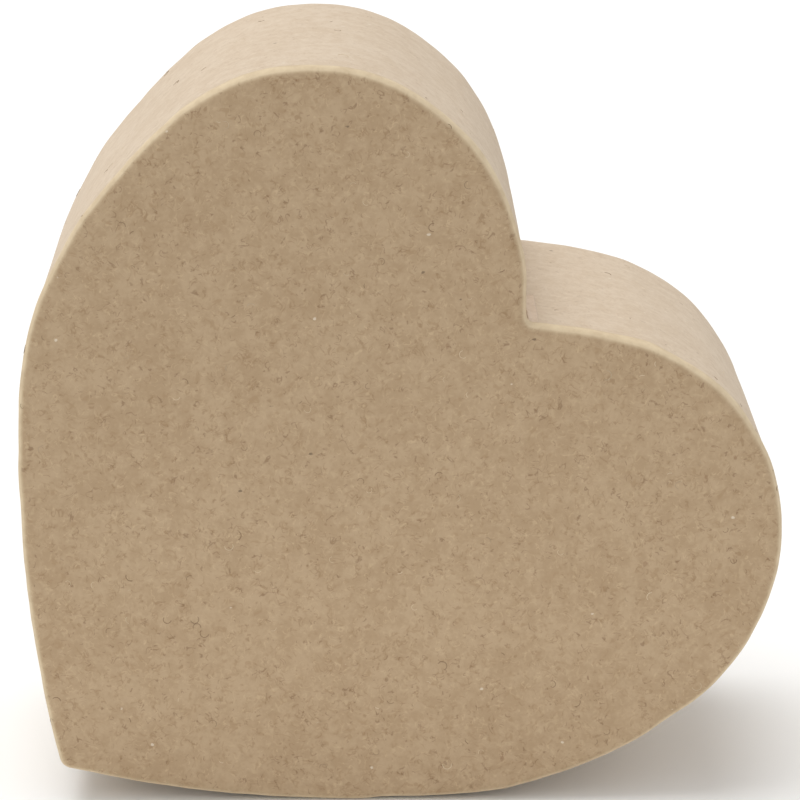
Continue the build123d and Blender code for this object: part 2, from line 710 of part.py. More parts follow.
with BuildPart() as cylinder_arbor:
    with BuildSketch(section(BRIDGE_X - 0.3, 0, AXIS_HEIGHT)):
        Circle(0.8)
    extrude(amount=INNER_CHEEK + CHEEK + 0.1 - BRIDGE_X + 0.3)
cylinder_arbor.part.label = "cylinder_arbor"
export_step(cylinder_arbor.part, "parts/cylinder_arbor.step")

with BuildPart() as cylinder_pinion:
    with BuildSketch(section(PINION_START, 0, AXIS_HEIGHT)):
        add(gear(CYLINDER_LEAVES, COARSE, -90, 0.8))
    extrude(amount=PINION_END - PINION_START)
cylinder_pinion.part.label = "cylinder_pinion"
export_step(cylinder_pinion.part, "parts/cylinder_pinion.step")

TO_FIRST = degrees(atan2(FIRST_Z - AXIS_HEIGHT, FIRST_Y))
TO_SECOND = degrees(atan2(SECOND_Z - FIRST_Z, SECOND_Y - FIRST_Y))
HALF_LEAF = 180 / LEAVES

with BuildPart() as cylinder_gear:
    with BuildSketch(section(GEAR_START, 0, AXIS_HEIGHT)):
        add(gear(GEAR_TEETH, FINE, TO_FIRST, 0.8))
        with PolarLocations(4.6, 5):
            Circle(1.6, mode=Mode.SUBTRACT)
    extrude(amount=GEAR_END - GEAR_START)
cylinder_gear.part.label = "cylinder_gear"
export_step(cylinder_gear.part, "parts/cylinder_gear.step")

# ---- governor ----
WHEEL_START, WHEEL_END = 37.6, 38.6
WORM_WHEEL_START, WORM_WHEEL_END = 40.2, 41.4

with BuildPart() as first_pinion:
    with BuildSketch(section(LEAVES_START, FIRST_Y, FIRST_Z)):
        add(gear(LEAVES, FINE, TO_FIRST + 180 + HALF_LEAF, 0))
    extrude(amount=LEAVES_END - LEAVES_START)
    with BuildSketch(section(LEAVES_START - 0.3, FIRST_Y, FIRST_Z)):
        Circle(SHAFT)
    extrude(amount=OUTER_CHEEK + 1.0 - LEAVES_START + 0.3)
first_pinion.part.label = "first_pinion"
export_step(first_pinion.part, "parts/first_pinion.step")

with BuildPart() as first_wheel:
    with BuildSketch(section(WHEEL_START, FIRST_Y, FIRST_Z)):
        add(gear(FIRST_TEETH, FINE, TO_SECOND, SHAFT))
        with PolarLocations(3.6, 4):
            Circle(1.3, mode=Mode.SUBTRACT)
    extrude(amount=WHEEL_END - WHEEL_START)
first_wheel.part.label = "first_wheel"
export_step(first_wheel.part, "parts/first_wheel.step")

with BuildPart() as second_pinion:
    with BuildSketch(section(WHEEL_START - 0.1, SECOND_Y, SECOND_Z)):
        add(gear(LEAVES, FINE, TO_SECOND + 180 + HALF_LEAF, 0))
    extrude(amount=WHEEL_END - WHEEL_START + 0.2)
    with BuildSketch(section(INNER_CHEEK + 0.2, SECOND_Y, SECOND_Z)):
        Circle(SHAFT)
    extrude(amount=OUTER_CHEEK + 1.0 - INNER_CHEEK - 0.2)
second_pinion.part.label = "second_pinion"
export_step(second_pinion.part, "parts/second_pinion.step")

with BuildPart() as worm_wheel:
    with BuildSketch(section(WORM_WHEEL_START, SECOND_Y, SECOND_Z)):
        add(gear(WORM_WHEEL_TEETH, FINE, 180, SHAFT))
    extrude(amount=WORM_WHEEL_END - WORM_WHEEL_START)
worm_wheel.part.label = "worm_wheel"
export_step(worm_wheel.part, "parts/worm_wheel.step")

WORM_START = SECOND_Z - 2.75 * WORM_LEAD  # leaves a groove facing the worm wheel's nearest tooth
PIVOT_LOW, PIVOT_HIGH = FLOOR + 0.5, FRAME_TOP + 1.0

with BuildPart() as worm_thread:
    with BuildLine() as thread_path:
        Helix(WORM_LEAD, 5 * WORM_LEAD, WORM_RADIUS)
    with BuildSketch(Plane(origin=thread_path.line @ 0, x_dir=(1, 0, 0), z_dir=thread_path.line % 0)):
        Polygon((-0.5, -0.26), (0.3, -0.1), (0.3, 0.1), (-0.5, 0.26), align=None)
    sweep(path=thread_path.line, is_frenet=True)

with BuildPart() as fly_shaft:
    for low, high, radius in (
        (PIVOT_LOW, FLOOR + 1.3, 0.35),
        (FLOOR + 1.3, FRAME_TOP - 0.1, SHAFT),
        (FRAME_TOP - 0.1, PIVOT_HIGH, 0.35),
        (WORM_START - 0.4, WORM_START + 5 * WORM_LEAD + 0.6, WORM_CORE),
    ):
        with BuildSketch(level(low, FLY_X, FLY_Y)):
            Circle(radius)
        extrude(amount=high - low)
    add(level(WORM_START, FLY_X, FLY_Y).location * worm_thread.part)
fly_shaft.part.label = "fly_shaft"
export_step(fly_shaft.part, "parts/fly_shaft.step")

with BuildPart() as fly_blades:
    with BuildSketch(level(FLY_LOW, FLY_X, FLY_Y)):
        Circle(0.9)
        Rectangle(2 * FLY_REACH, 0.4)
        Circle(SHAFT, mode=Mode.SUBTRACT)
    extrude(amount=FLY_HIGH - FLY_LOW)
fly_blades.part.label = "fly_blades"
export_step(fly_blades.part, "parts/fly_blades.step")
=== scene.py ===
# %% [markdown]
# # A wind up music box in a heart of kraft paper
# The box is a heart of stiff board, covered in recycled kraft paper, with a spring-driven comb movement inside
# and a butterfly key on its back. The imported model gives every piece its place; this file gives the case its
# paper and every part its finish. All lengths are in metres, so MM turns millimetres into them.

# %% Load the frame
import json
import math

import bmesh
import bpy
import numpy as np
from mathutils import Euler, Matrix, Vector, geometry, noise


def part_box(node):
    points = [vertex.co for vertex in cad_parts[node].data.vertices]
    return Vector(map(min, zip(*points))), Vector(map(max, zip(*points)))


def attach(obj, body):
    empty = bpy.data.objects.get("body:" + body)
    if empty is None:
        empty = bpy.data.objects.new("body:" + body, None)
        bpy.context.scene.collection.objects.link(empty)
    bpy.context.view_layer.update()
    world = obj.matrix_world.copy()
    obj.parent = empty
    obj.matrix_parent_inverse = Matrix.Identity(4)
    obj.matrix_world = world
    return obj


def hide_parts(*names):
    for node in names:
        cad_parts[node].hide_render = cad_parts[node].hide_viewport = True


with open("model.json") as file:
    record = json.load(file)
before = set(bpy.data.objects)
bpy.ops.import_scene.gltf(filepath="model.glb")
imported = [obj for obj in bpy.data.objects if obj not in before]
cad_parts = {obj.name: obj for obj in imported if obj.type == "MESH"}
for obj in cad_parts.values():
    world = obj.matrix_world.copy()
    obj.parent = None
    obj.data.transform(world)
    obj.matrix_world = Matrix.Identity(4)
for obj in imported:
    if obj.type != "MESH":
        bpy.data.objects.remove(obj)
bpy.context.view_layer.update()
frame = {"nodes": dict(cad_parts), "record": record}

MM = 0.001

# %% [markdown]
# ## Camera, floor and light
# A long lens keeps the heart's outline calm, as on a product picture. The camera stands a little above the box
# and looks down on it. A wide sun overhead makes the top of the case brighter than its upright front, which a
# weaker white room lights. A soft light from the left and a low one before the front lift the shadows.

# %% Camera
camera = bpy.data.objects.new("camera", bpy.data.cameras.new("camera"))
bpy.context.scene.collection.objects.link(camera)
camera.data.lens = 149.5
camera.data.sensor_width = 36.0
camera.data.clip_end = 20.0
camera.location = (-6.42 * MM, -462.0 * MM, 193.6 * MM)
LOOK_DOWN, LOOK_RIGHT, ROLL = math.radians(17.335), math.radians(0.811), math.radians(0.118)
level_look = Euler((math.radians(90) - LOOK_DOWN, 0.0, -LOOK_RIGHT)).to_matrix()
camera.rotation_euler = (level_look @ Matrix.Rotation(ROLL, 3, "Z")).to_euler()
bpy.context.scene.camera = camera
print("camera", tuple(round(v, 4) for v in camera.location))


# %% Lights
def add_light(name, kind, energy, location, target, **settings):
    """A lamp at a place, turned towards a target; both in metres."""
    lamp = bpy.data.objects.new(name, bpy.data.lights.new(name, kind))
    lamp.data.energy = energy
    for setting, value in settings.items():
        setattr(lamp.data, setting, value)
    lamp.location = location
    lamp.rotation_euler = (Vector(target) - lamp.location).to_track_quat("-Z", "Y").to_euler()
    bpy.context.scene.collection.objects.link(lamp)


add_light("overhead_light", "SUN", 1.75, (-0.3, 0.25, 1.5), (0, 0, 0), angle=math.radians(50))
add_light("side_fill", "AREA", 0.7, (-0.8, -0.35, 0.45), (0, 0, 0.05), size=0.6)
add_light(
    "low_fill", "AREA", 0.0085, (0.0, -0.092, 0.010), (0, -0.03, 0.012), shape="RECTANGLE", size=0.14, size_y=0.012
)

world = bpy.data.worlds.new("white_room")
world.use_nodes = True
world.node_tree.nodes["Background"].inputs["Color"].default_value = (1, 1, 1, 1)
world.node_tree.nodes["Background"].inputs["Strength"].default_value = 0.62
bpy.context.scene.world = world
bpy.context.scene.view_settings.view_transform = "Standard"
print("lights", [lamp.name for lamp in bpy.data.lights])

# %% [markdown]
# ## A small language for finishes
# A finish is a tree of shader nodes. Wire wraps one output socket, so that maths on it reads as an expression and
# adds the Math nodes itself. Finish holds the material, and its node method makes any other node.


# %% Shader helpers
class Wire:
    """One output socket of a finish that can be used in sums."""

    def __init__(self, finish, socket):
        self.finish, self.socket = finish, socket

    def math(self, operation, *values):
        return self.finish.node("ShaderNodeMath", {"operation": operation}, *values)

    def __add__(self, other):
        return self.math("ADD", self, other)

    def __sub__(self, other):
        return self.math("SUBTRACT", self, other)

    def __rsub__(self, other):
        return self.math("SUBTRACT", other, self)

    def __mul__(self, other):
        return self.math("MULTIPLY", self, other)

    def __gt__(self, other):
        return self.math("GREATER_THAN", self, other)

    def __abs__(self):
        return self.math("ABSOLUTE", self)

    __radd__, __rmul__ = __add__, __mul__


class Finish:
    """A material under construction."""

    def __init__(self, name, **constants):
        self.material = bpy.data.materials.new(name)
        self.material.use_nodes = True
        self.tree = self.material.node_tree
        self.shader = self.tree.nodes["Principled BSDF"]
        for socket, value in constants.items():
            self.shader.inputs[socket.replace("_", " ")].default_value = value

    def node(self, kind, settings=None, *values, out=0, **named):
        """A node of any type: its settings first, then its sockets' values or links."""
        made = self.tree.nodes.new(kind)
        for key, value in (settings or {}).items():
            setattr(made, key, value)
        for key, value in list(enumerate(values)) + list(named.items()):
            socket = made.inputs[key.replace("_", " ") if isinstance(key, str) else key]
            if isinstance(value, Wire):
                self.tree.links.new(value.socket, socket)
            else:
                socket.default_value = value
        return Wire(self, made.outputs[out])

    def place(self, scale=(1, 1, 1), move=(0, 0, 0)):
        """Object coordinates, turned into millimetres and stretched."""
        here = self.node("ShaderNodeTexCoord", out="Object")
        size = tuple(s / MM for s in scale)
        return self.node("ShaderNodeMapping", None, here, Scale=size, Location=move)

    def cloud(self, at, scale, detail=2.0, rough=0.5, warp=0.0):
        """Smooth noise between 0 and 1."""
        sizes = {"Scale": scale, "Detail": detail, "Roughness": rough, "Distortion": warp}
        return self.node("ShaderNodeTexNoise", None, at, **sizes)

    def step(self, value, low, high):
        """0 below low, 1 above high, smooth between."""
        settings = {"interpolation_type": "SMOOTHSTEP"}
        return self.node("ShaderNodeMapRange", settings, value, low, high, 0.0, 1.0)

    def mix(self, amount, first, second):
        """Two colours mixed by an amount."""
        made = self.tree.nodes.new("ShaderNodeMix")
        made.data_type = "RGBA"
        for socket, value in zip((made.inputs[0], made.inputs[6], made.inputs[7]), (amount, first, second)):
            if isinstance(value, Wire):
                self.tree.links.new(value.socket, socket)
            else:
                socket.default_value = value if isinstance(value, float) else (*value, 1)
        return Wire(self, made.outputs[2])

    def feed(self, **wires):
        """Links wires to the shader's own sockets."""
        for socket, wire in wires.items():
            self.tree.links.new(wire.socket, self.shader.inputs[socket.replace("_", " ")])
        return self.material

    def bump(self, height, depth, strength):
        """A Bump node, its depth in millimetres."""
        return self.node("ShaderNodeBump", None, Strength=strength, Distance=depth * MM, Height=height)


floor_paint = Finish("floor_white", Base_Color=(0.93, 0.93, 0.92, 1), Roughness=0.9)
bpy.ops.mesh.primitive_plane_add(size=12.0)
floor = bpy.context.object
floor.name = "floor"
floor.data.materials.append(floor_paint.material)
print("finishes can be written now")

# %% [markdown]
# ## Kraft paper
# Recycled kraft is a felt of short curled fibres. Most are a little darker or lighter than the sheet, a few are
# bark brown, and here and there a speck or a pale flake was pressed in. A thin band around one level of a smooth
# noise is a long curl; a second noise cuts it into fibres about a millimetre long. Three layers of dark and two
# of pale fibres over a soft cloud give the sheet, and the same fibres raise it by a few hundredths.


# %% Kraft finishes
FIBRES = (
    # where in the noise, curls per mm, width, cut low, cut high, tint, dark or pale
    ((3.1, 7.7, 1.9), 0.45, 0.060, 0.49, 0.62, (0.76, 0.69, 0.60), True),
    ((13.7, 2.3, 8.1), 0.70, 0.050, 0.53, 0.64, (0.62, 0.53, 0.43), True),
    ((9.3, 31.1, 6.1), 0.60, 0.040, 0.60, 0.66, (0.42, 0.32, 0.25), True),
    ((21.3, 9.1, 4.7), 0.50, 0.060, 0.49, 0.62, (1.10, 1.12, 1.12), False),
    ((5.9, 17.3, 12.1), 0.80, 0.045, 0.55, 0.64, (1.22, 1.25, 1.26), False),
)
SPECKS = (
    # where, cells per mm, stretch, size, rarity, tint, share
    ((2.0, 5.0, 9.0), 0.20, (1.0, 1.0, 1.6), 0.070, 0.86, (0.10, 0.065, 0.04), 0.80),
    ((8.0, 1.0, 3.0), 0.17, (1.5, 1.0, 1.0), 0.085, 0.84, (0.26, 0.15, 0.08), 0.65),
    ((4.0, 9.0, 6.0), 0.26, (1.0, 1.0, 1.3), 0.075, 0.86, (0.74, 0.66, 0.54), 0.80),
)
# Paler colour of the turned-over lip: a painted highlight of the rounded edge lit from above, and partly wear.
LIP_WEAR_AND_HIGHLIGHT = (0.70, 0.57, 0.385)


def kraft(name, sheet, deep, pale, dark_share, pale_share, grain=None):
    """Recycled kraft paper: a clouded sheet with dark and pale curled fibres and specks."""
    paper = Finish(name)
    here = paper.place()
    coarse = paper.cloud(here, 0.10, 2.0, 0.5)
    medium = paper.cloud(here, 0.55, 2.0, 0.55)
    fine = paper.cloud(here, 1.9, 2.0, 0.6)
    felt = coarse * 0.25 + medium * 0.45 + fine * 0.30
    colour = paper.mix(paper.step(felt, 0.38, 0.62), deep, sheet)
    height = medium * 0.5 + fine * 0.5
    for move, scale, width, low, high, tint, dark in FIBRES:
        there = paper.place(move=move)
        curl = abs(paper.cloud(there, scale, 1.0, 0.4, 1.3) - 0.5)
        cut = paper.step(paper.cloud(there, 0.8, 1.0, 0.5, 0.4), low, high)
        fibre = (1 - paper.step(curl, width * 0.2, width)) * cut
        shade = tuple(min(1.0, base * t) for base, t in zip(sheet, tint))
        colour = paper.mix(fibre * (dark_share if dark else pale_share), colour, shade)
        height = height + fibre * 0.5
    for move, scale, stretch, size, keep, tint, share in SPECKS:
        there = paper.place(scale=stretch, move=move)
        bent = paper.cloud(there, 1.6, 2.0)
        cell = paper.node("ShaderNodeTexVoronoi", None, there, Scale=scale, Randomness=1.0)
        tone = paper.node("ShaderNodeTexVoronoi", None, there, Scale=scale, Randomness=1.0, out="Color")
        lucky = paper.node("ShaderNodeSeparateColor", None, tone) > keep
        speck = (1 - paper.step(cell + (bent - 0.5) * size * 2.2, size * 0.6, size)) * lucky
        colour = paper.mix(speck * share * (0.5 + dark_share * 0.5), colour, tint)
    if grain:
        strip = paper.node("ShaderNodeUVMap", {"uv_map": "paper"})
        along = paper.node("ShaderNodeMapping", None, strip, Scale=grain)
        streak = paper.cloud(along, 1.0, 3.0, 0.6)
        colour = paper.mix(paper.step(streak, 0.54, 0.74) * 0.12, colour, pale)
        colour = paper.mix((1 - paper.step(streak, 0.28, 0.46)) * 0.09, colour, deep)
        height = height + streak * 0.4
    # The lip is painted paler: a painted highlight of the rounded edge lit from above, and partly a worn edge.
    lip = paper.node("ShaderNodeAttribute", {"attribute_name": "lip"}, out="Fac")
    colour = paper.mix(lip * (0.78 + (medium - 0.5) * 0.8), colour, LIP_WEAR_AND_HIGHLIGHT)
    return paper.feed(Base_Color=colour, Roughness=0.80 + fine * 0.16, Normal=paper.bump(height, 0.030, 0.5))


# Face and side are the same kraft; the side's paler sheet colours are painted light of the top light on the side,
# and its streaks are the paper's own.
face_kraft = kraft("kraft_face", (0.463, 0.338, 0.211), (0.403, 0.284, 0.169), (0.70, 0.60, 0.46), 0.52, 0.5)
side_kraft = kraft(
    "kraft_side", (0.640, 0.525, 0.400), (0.585, 0.465, 0.340), (0.72, 0.62, 0.50), 0.20, 0.25, grain=(70, 800, 1)
)
grey_board = kraft("grey_board", (0.30, 0.275, 0.235), (0.23, 0.21, 0.175), (0.45, 0.42, 0.37), 0.7, 0.6)
print("kraft nodes", len(face_kraft.node_tree.nodes), len(side_kraft.node_tree.nodes))

# %% [markdown]
# ## The heart's outline
# The case is drawn with compass arcs that run into each other: a long flat side, hip, shoulder and lobe, and one
# last arc that ends in the cleft. It was cut by hand, so its two halves aren't the same. Walking along the arcs
# gives the outline, and a small arc rounds its point and its cleft.

# %% Outline
RIGHT_HALF = (59.3, ((165.0, 19.4), (59.7, 35.0), (33.0, 44.1), (29.0, 78.2)))
LEFT_HALF = (57.8, ((190.0, 16.5), (45.0, 26.3), (74.7, 19.5), (27.4, 94.5)))
CLEFT = np.array((0.0, 91.35))
POINT_ROUND, CLEFT_ROUND = 1.8, 1.0
TILT = math.radians(45)
DEPTH = 48.0
SPACING = 0.45


def arc_points(middle, radius, start, sweep):
    """Points along an arc, about every twentieth of a millimetre, without its first."""
    angles = start + sweep * np.linspace(0, 1, max(8, int(radius * abs(sweep) / 0.05)))[1:]
    return middle + radius * np.column_stack([np.cos(angles), np.sin(angles)])


def walk_half(point_angle, arcs):
    """Points of one half from the point to the cleft, as if it were the right half."""
    place, heading, points = np.zeros(2), math.pi / 2 - math.radians(point_angle), [np.zeros((1, 2))]
    for radius, turn in arcs:
        inwards = np.array((-math.sin(heading), math.cos(heading)))
        points.append(arc_points(place + radius * inwards, radius, heading - math.pi / 2, math.radians(turn)))
        place, heading = points[-1][-1], heading + math.radians(turn)
    inwards, gap = np.array((-math.sin(heading), math.cos(heading))), CLEFT - place
    radius = gap @ gap / (2 * gap @ inwards)
    middle = place + radius * inwards
    ends = [math.atan2(*(p - middle)[::-1]) for p in (place, CLEFT)]
    points.append(arc_points(middle, radius, ends[0], (ends[1] - ends[0]) % (2 * math.pi)))
    return np.vstack(points)


def round_corner(path, corner, radius):
    """Swaps one sharp corner of a closed path for a small arc; the new path starts in the arc's middle."""
    path = np.roll(path, -corner, axis=0)
    before, after = (step / np.linalg.norm(step) for step in (path[-8] - path[0], path[8] - path[0]))
    half = math.acos(before @ after) / 2
    middle = path[0] + (before + after) / np.linalg.norm(before + after) * radius / math.sin(half)
    cut = radius / math.tan(half)
    first, last = (math.atan2(*(path[0] + way * cut - middle)[::-1]) for way in (before, after))
    sweep = (last - first + math.pi) % (2 * math.pi) - math.pi
    arc = arc_points(middle, radius, first, sweep)
    kept = path[np.linalg.norm(path - path[0], axis=1) > cut]
    return np.vstack([arc[len(arc) // 2 :], kept, arc[: len(arc) // 2]])


right, left = walk_half(*RIGHT_HALF), walk_half(*LEFT_HALF) * (-1, 1)
closed = np.vstack([right, left[-2:0:-1]])
closed = round_corner(closed, len(right) - 1, CLEFT_ROUND)
closed = round_corner(closed, int(np.linalg.norm(closed, axis=1).argmin()), POINT_ROUND)
lengths = np.r_[0, np.cumsum(np.linalg.norm(np.diff(np.vstack([closed, closed[:1]]), axis=0), axis=1))]
COUNT = int(lengths[-1] / SPACING)
marks = np.linspace(0, lengths[-1], COUNT, endpoint=False)
ring = np.column_stack([np.interp(marks, lengths, np.r_[closed[:, k], closed[:1, k]]) for k in (0, 1)])
tangents = np.roll(ring, -1, 0) - np.roll(ring, 1, 0)
tangents /= np.linalg.norm(tangents, axis=1)[:, None]
outward = np.column_stack([tangents[:, 1], -tangents[:, 0]])
print("outline points", COUNT, "length mm", round(float(lengths[-1]), 1))

# %% Place the outline on the frame
lean = np.array([[math.cos(TILT), math.sin(TILT)], [-math.sin(TILT), math.cos(TILT)]])
low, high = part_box("side_cover")
tilted = ring @ lean.T
shift = np.array((low.x / MM - tilted[:, 0].min(), low.z / MM - tilted[:, 1].min()))
BACK_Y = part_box("back_facing")[1].y / MM
print("outline shift mm", shift.round(2), "back plane", round(BACK_Y, 2))


def to_world(flat, depth):
    """Heart coordinates and a height above the back plane, in mm, as a point in metres."""
    x, z = flat @ lean.T + shift
    return Vector((x, BACK_Y - depth, z)) * MM


# %% [markdown]
# ## A hand-made edge
# The board was cut and covered by hand, so its edge isn't a true curve. Slow waves move it by a tenth or two, and
# at a few places the paper was pinched into a small dent. Both papers share these waves, so the side paper always
# stays just under the sheet that is turned over on to it.

# %% Waves of the edge
KINKS = (
    # along the outline, width, depth of a dent
    (46.0, 3.0, -0.22), (63.0, 4.5, 0.18), (88.0, 2.6, -0.20), (109.0, 5.0, -0.15), (131.0, 3.0, 0.16),
    (176.0, 2.4, -0.20), (205.0, 5.0, -0.16), (262.0, 4.0, 0.15), (306.0, 3.5, -0.18),
)


def edge_wave(row):
    """How far the edge stands in from the true outline, in mm, at every outline point; row picks a pattern."""
    waves = []
    for (a, u), s in zip(ring, marks):
        slow = noise.noise(Vector((a / 9, u / 9, row))) * 0.14 + noise.noise(Vector((a / 3, u / 3, row + 5))) * 0.07
        dents = sum(depth * math.exp(-(((s - at) / wide) ** 2)) for at, wide, depth in KINKS)
        waves.append(slow - dents)
    return np.clip(waves, -0.30, 0.20)


wave = edge_wave(3.0)
print("edge waves mm", float(wave.min()).__round__(2), float(wave.max()).__round__(2))

# %% [markdown]
# ## The front and back sheets
# Each sheet is one piece of paper, glued over its panel and turned over the edge on to the side, where it ends in
# a slightly ragged cut. It is made as rings of points: the cut edge, the lip, the quarter round, and then the flat
# face, which is filled with a net of small triangles so that it can ripple a little. The lip attribute is 1 on
# the lip and 0 on the face, and by it the kraft finish paints the lip paler: a painted highlight of the rounded
# edge lit from above, and partly a rubbed, worn edge. The back sheet has holes for the key and for the three screws
# that hold the movement.

# %% Sheet maker
ROUND = 1.2
PAPER_THICK = 0.15
LIFTS = (
    # along the outline, width, height of a place where the cut edge stands off the side
    (30.0, 4.0, 0.10), (100.0, 3.0, 0.12), (140.0, 2.5, 0.12), (157.0, 3.5, 0.22), (196.0, 3.0, 0.14),
    (232.0, 6.0, 0.10),
)
# Depths in mm below the face over which the lip's painted highlight and wear ramp from 0 to 1.
LIP_WEAR_AND_HIGHLIGHT_RAMP = (0.06, 0.36)
NET = 1.25


def ripple(a, u, seed):
    """The paper's slight unevenness, always inwards, in mm."""
    broad = noise.noise(Vector((a / 17, u / 17, seed))) * 0.05
    small = noise.noise(Vector((a / 4.5, u / 4.5, seed + 3))) * 0.02
    return -0.07 + broad + small


def lip_length(seed):
    """Where the turned-over paper ends, in mm below the face."""
    return [
        2.0 + 0.45 * noise.noise(Vector((a / 7, u / 7, seed))) + 0.12 * noise.noise(Vector((a, u, seed)))
        for a, u in ring
    ]


def inside(points, polygon):
    """Which points lie in a closed polygon."""
    ahead = np.roll(polygon, -1, 0)
    crossing = np.zeros(len(points), int)
    for (x0, y0), (x1, y1) in zip(polygon, ahead):
        if y0 != y1:
            at = x0 + (points[:, 1] - y0) * (x1 - x0) / (y1 - y0)
            crossing += ((y0 > points[:, 1]) != (y1 > points[:, 1])) & (points[:, 0] < at)
    return crossing % 2 == 1


def sheet_of_paper(name, front, seed, holes=()):
    """A face sheet with its rounded edge and its lip, ready to get a thickness."""
    face_depth, sign = (DEPTH, -1) if front else (0.0, 1)
    lip = lip_length(seed)
    if front:
        rows = [(-0.01, None), (0.0, 1.55)]
        rows += [(ROUND * (1 - math.cos(f)), ROUND * (1 - math.sin(f))) for f in np.linspace(0, math.pi / 2, 9)]
    else:
        rows = [(0.33, None), (0.33, ROUND)]
        rows += [(ROUND + 0.17 - 1.04 * math.cos(f), ROUND - 1.04 * math.sin(f)) for f in (0.3, 0.5, 0.7, 0.9)]
        rows += [(0.95, 0.22), (1.2, 0.09), (1.5, 0.0)]
    places = []
    for inset, down in rows:
        for i, flat in enumerate(ring - outward * (wave + inset)[:, None]):
            rise = sum(h * math.exp(-(((marks[i] - at) / w) ** 2)) for at, w, h in LIFTS) if front else 0.0
            lifted = outward[i] * rise * (1.0 if down is None else 0.3 if down > ROUND else 0.0)
            places.append((flat + lifted, lip[i] if down is None else down))
    rim = len(rows) * COUNT - COUNT
    border = np.array([flat for flat, _ in places[rim:]])
    low_corner, high_corner = border.min(0), border.max(0)
    grid = np.array([
        (a + NET * 0.5 * (row % 2) + 0.3 * noise.noise(Vector((a, u, seed))), u)
        for row, u in enumerate(np.arange(low_corner[1], high_corner[1], NET * 0.87))
        for a in np.arange(low_corner[0], high_corner[0], NET)
    ])
    grid = grid[inside(grid, border - outward * 0.6)]
    circles = []
    for centre, radius in holes:
        grid = grid[np.linalg.norm(grid - centre, axis=1) > radius + 0.5]
        sides = max(16, int(radius * 10))
        turn = np.linspace(0, 2 * math.pi, sides, endpoint=False)
        circles.append(centre + radius * np.column_stack([np.cos(turn), np.sin(turn)]))
    flats = np.vstack([border, *circles, grid])
    edges, start = [(i, (i + 1) % COUNT) for i in range(COUNT)], COUNT
    for circle in circles:
        edges += [(start + i, start + (i + 1) % len(circle)) for i in range(len(circle))]
        start += len(circle)
    net = geometry.delaunay_2d_cdt([Vector(p) for p in flats], edges, [], 1, 1e-6)
    kept = []
    for face in net[2]:
        middle = sum((net[0][v] for v in face), Vector((0, 0))) / len(face)
        if all((middle - Vector(centre)).length > radius for centre, radius in holes):
            kept.append(face)
    order = []
    for point, sources in zip(net[0], net[3]):
        on_rim = [k for k in sources if k < COUNT]
        order.append(rim + on_rim[0] if on_rim else len(places))
        if not on_rim:
            places.append((np.array(point), 0.0))
    points = [to_world(f, face_depth + sign * d - sign * ripple(*f, seed)) for f, d in places]
    faces = [
        (r * COUNT + i, r * COUNT + (i + 1) % COUNT, (r + 1) * COUNT + (i + 1) % COUNT, (r + 1) * COUNT + i)
        for r in range(len(rows) - 1)
        for i in range(COUNT)
    ]
    faces += [tuple(order[v] for v in face) for face in kept]
    piece = paper_object(name, points, faces, lambda face: face.normal.y * (-1 if front else 1))
    # This attribute carries the lip's painted highlight of the rounded edge lit from above, and partly its wear.
    lip_wear_and_highlight = piece.data.attributes.new("lip", "FLOAT", "POINT")
    lip_wear_and_highlight.data.foreach_set("value", [np.interp(down, LIP_WEAR_AND_HIGHLIGHT_RAMP, (0.0, 1.0)) for _, down in places])
    return piece


def paper_object(name, points, faces, outside):
    """A mesh of thin paper with its faces turned outwards and its thickness inwards."""
    mesh = bpy.data.meshes.new(name)
    mesh.from_pydata(points, [], faces)
    work = bmesh.new()
    work.from_mesh(mesh)
    bmesh.ops.recalc_face_normals(work, faces=work.faces)
    if sum(outside(face) * face.calc_area() for face in work.faces) < 0:
        bmesh.ops.reverse_faces(work, faces=work.faces)
    for face in work.faces:
        face.smooth = True
    work.to_mesh(mesh)
    work.free()
    piece = bpy.data.objects.new(name, mesh)
    bpy.context.scene.collection.objects.link(piece)
    wall = piece.modifiers.new("thickness", "SOLIDIFY")
    wall.thickness, wall.offset = PAPER_THICK * MM, -1.0
    return piece


# %% Front and back sheets
ARBOR = np.array((-15.0, 61.0))
SCREWS = ((-10.6, 13.6), (-10.6, -13.6), (29.0, 10.5))
front_sheet = sheet_of_paper("front_sheet", True, 11.0)
holes = [(ARBOR, 5.1)] + [(ARBOR + np.array(at), 1.4) for at in SCREWS]
back_sheet = sheet_of_paper("back_sheet", False, 23.0, holes)
for sheet, node in ((front_sheet, "front_facing"), (back_sheet, "back_facing")):
    sheet.data.materials.append(face_kraft)
    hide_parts(node)
    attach(sheet, "case")
    print(sheet.name, len(sheet.data.polygons), "faces")

# %% [markdown]
# ## The side paper
# One long strip runs round the side, under both lips. Its fibres lie along the strip, so it is smoother than the
# face, with fine streaks. Its base colour is painted paler than the face's, painted light of the top light falling
# on the side, though it is the same kraft. It is a ring of quads, wide enough to reach under the lips; its own map
# in metres, along and across the strip, lets the streaks follow the curve.

# %% Side strip
STRIP_LOW, STRIP_HIGH = ROUND, 46.65
TUCK = 0.17  # how far the side paper stands inside the outline, to pass under the lips
STRIP_ROWS = [(depth, 0.0) for depth in np.linspace(STRIP_HIGH, STRIP_LOW, 30)]
STRIP_ROWS += [(ROUND * (1 - math.sin(f)), ROUND * (1 - math.cos(f))) for f in (0.22, 0.44, 0.66, 0.88)]


